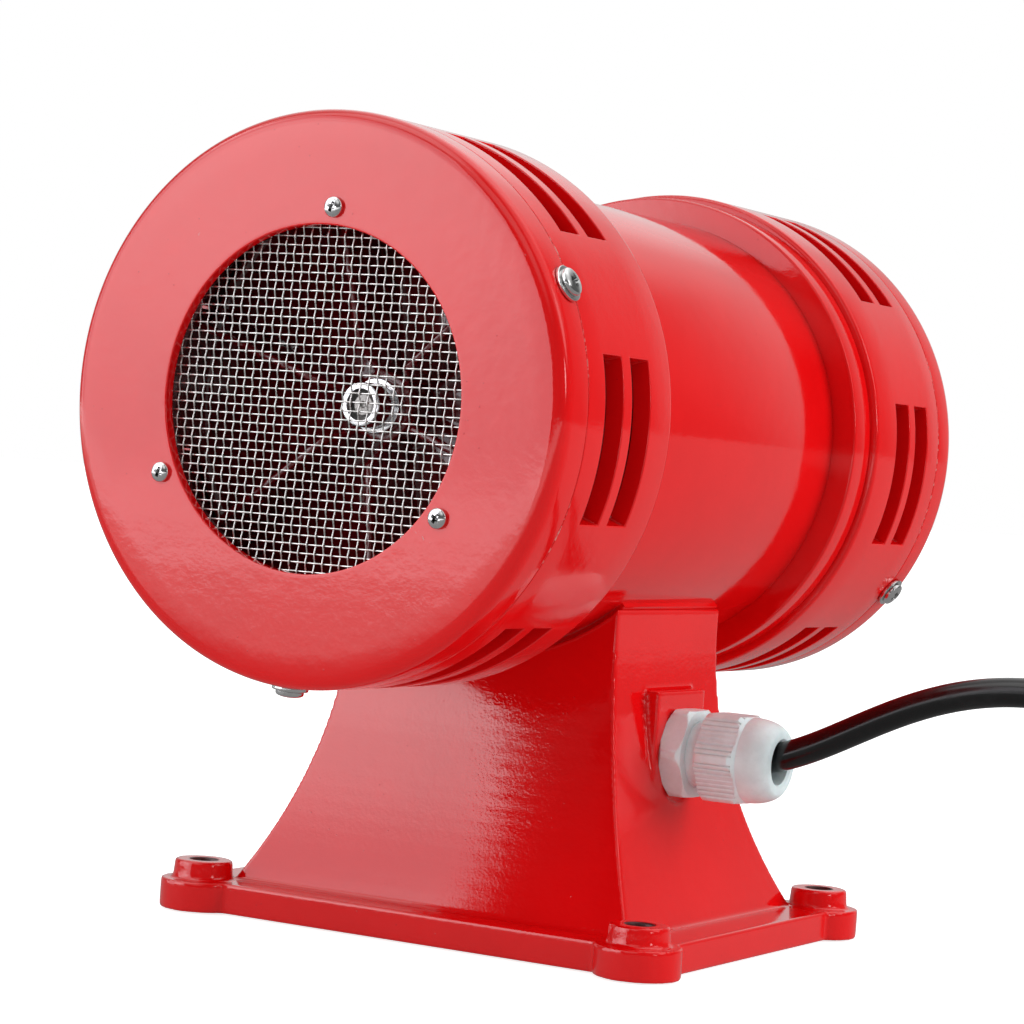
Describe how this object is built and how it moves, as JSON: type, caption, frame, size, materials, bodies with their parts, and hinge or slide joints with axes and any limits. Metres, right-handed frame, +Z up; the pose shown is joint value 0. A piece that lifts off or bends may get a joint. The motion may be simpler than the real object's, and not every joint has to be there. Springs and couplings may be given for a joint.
{
  "type": "motor siren",
  "caption": "Double-ended red motor siren: slotted sound drums on a round motor housing, mesh grilles, flared cast pedestal with bolt lugs, side cable gland and curved cable.",
  "frame": {"origin": "centre of the pedestal's underside, midway between the four mounting holes", "axes": "+Z up through the pedestal, rotor axis along Y with the front cover facing -Y, cable gland on +X"},
  "size_m": [0.2444, 0.246, 0.207],
  "materials": {
    "red_enamel": "glossy red enamel over cast and pressed metal",
    "zinc_steel": "bright zinc-plated steel",
    "wire_steel": "bright stainless woven wire",
    "bearing_steel": "ground and polished bearing steel",
    "laminations": "dark electrical steel laminations",
    "copper": "enamelled copper wire",
    "brass": "bright brass",
    "phenolic": "brown phenolic board",
    "carbon": "dull grey-black carbon",
    "nylon": "light grey moulded nylon, satin",
    "rubber": "black rubber",
    "cable_pvc": "black PVC jacket, slightly glossy",
    "core_insulation": "brown and blue PVC core insulation"
  },
  "bodies": {
    "housing": {"base_pedestal": "red_enamel", "motor_tube": "red_enamel", "front_end_shield": "red_enamel", "rear_end_shield": "red_enamel", "front_drum": "red_enamel", "rear_drum": "red_enamel", "front_cover": "red_enamel", "rear_cover": "red_enamel", "front_mesh": "wire_steel", "rear_mesh": "wire_steel", "front_mesh_ring": "zinc_steel", "rear_mesh_ring": "zinc_steel", "cover_face_screws": "zinc_steel", "cover_face_nuts": "zinc_steel", "side_screws": "zinc_steel", "side_washers": "zinc_steel", "drum_screws": "zinc_steel", "saddle_bolts": "zinc_steel", "wire_grommet": "rubber", "front_bearing_outer_race": "bearing_steel", "rear_bearing_outer_race": "bearing_steel", "stator_core": "laminations", "field_coils": "copper", "brush_plate": "phenolic", "brush_plate_screws": "zinc_steel", "brush_holders": "brass", "carbon_brushes": "carbon", "brush_springs": "zinc_steel", "gland_body": "nylon", "gland_locknut": "nylon", "gland_seal": "rubber", "gland_cap_nut": "nylon", "power_cable": "cable_pvc", "cable_cores": "core_insulation"},
    "rotor": {"motor_shaft": "zinc_steel", "armature_core": "laminations", "armature_winding": "copper", "commutator": "copper", "front_rotor": "red_enamel", "rear_rotor": "red_enamel", "front_hub_bush": "zinc_steel", "rear_hub_bush": "zinc_steel", "hub_set_screws": "zinc_steel", "front_bearing_inner_race": "bearing_steel", "rear_bearing_inner_race": "bearing_steel", "front_bearing_balls": "bearing_steel", "rear_bearing_balls": "bearing_steel"}
  },
  "joints": [
    {"name": "rotor_spin", "type": "hinge", "parent": "housing", "child": "rotor", "pos_m": [0, 0, 0.137], "axis": [0, 1, 0], "continuous": true}
  ]
}
